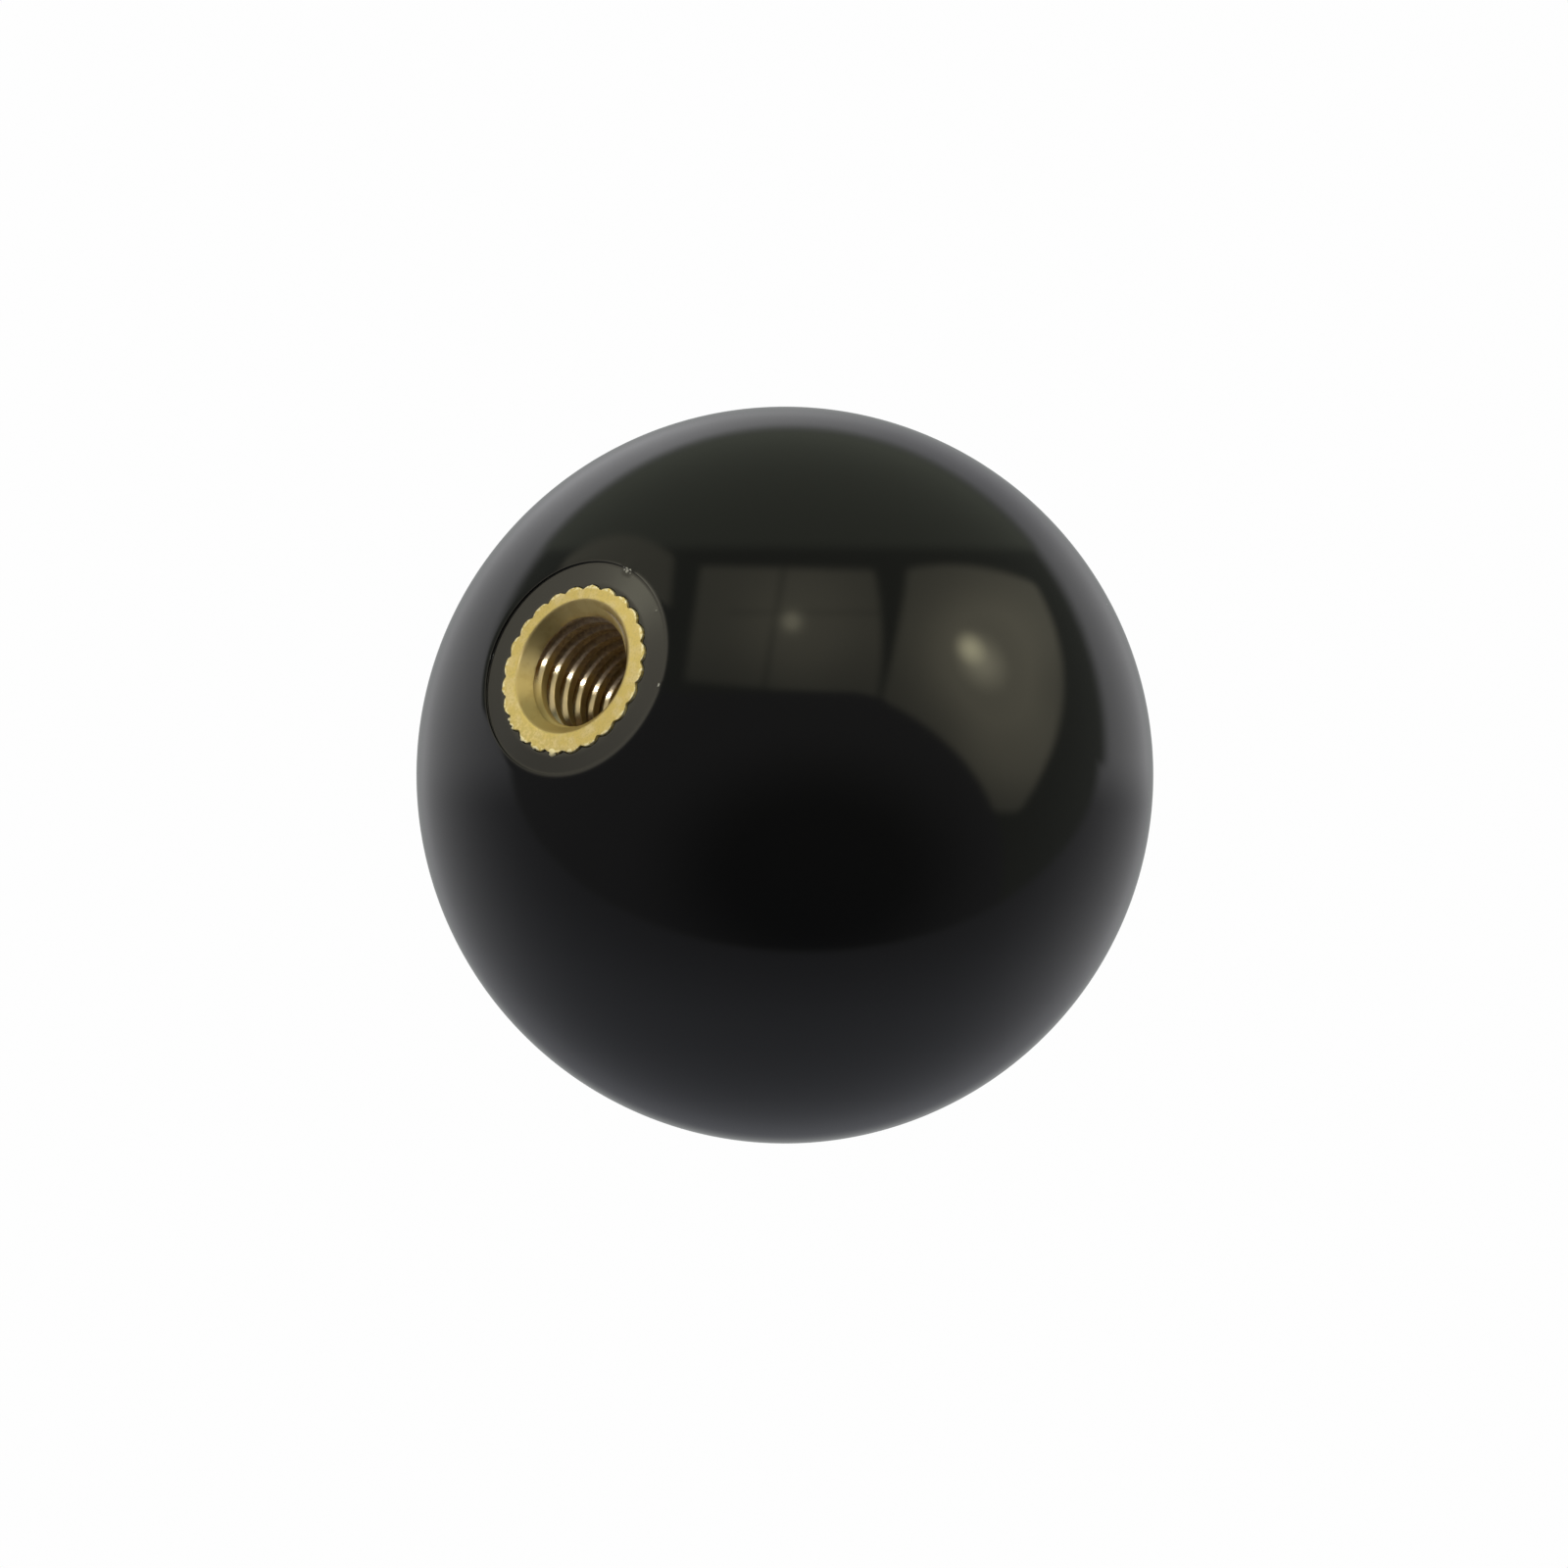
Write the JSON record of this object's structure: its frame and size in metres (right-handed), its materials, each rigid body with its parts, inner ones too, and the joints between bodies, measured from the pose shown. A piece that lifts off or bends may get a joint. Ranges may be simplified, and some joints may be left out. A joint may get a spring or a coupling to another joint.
{
  "type": "joystick ball top",
  "caption": "Gloss black ball knob with a small flat and a moulded-in knurled brass bush, threaded to screw onto a joystick lever.",
  "frame": {"origin": "middle of the hole's mouth, on the brass face that the lever's shoulder meets", "axes": "+Z along the axis of the hole, from its mouth to the top of the ball; X and Y are alike"},
  "size_m": [0.035, 0.035, 0.0344],
  "materials": {
    "black_moulding": "polished black moulding resin, a little duller on the flat",
    "brass": "turned and knurled bare brass, bright on the end face and brownish in the hole"
  },
  "bodies": {
    "root": {"ball": "black_moulding", "threaded_insert": "brass"}
  },
  "joints": []
}
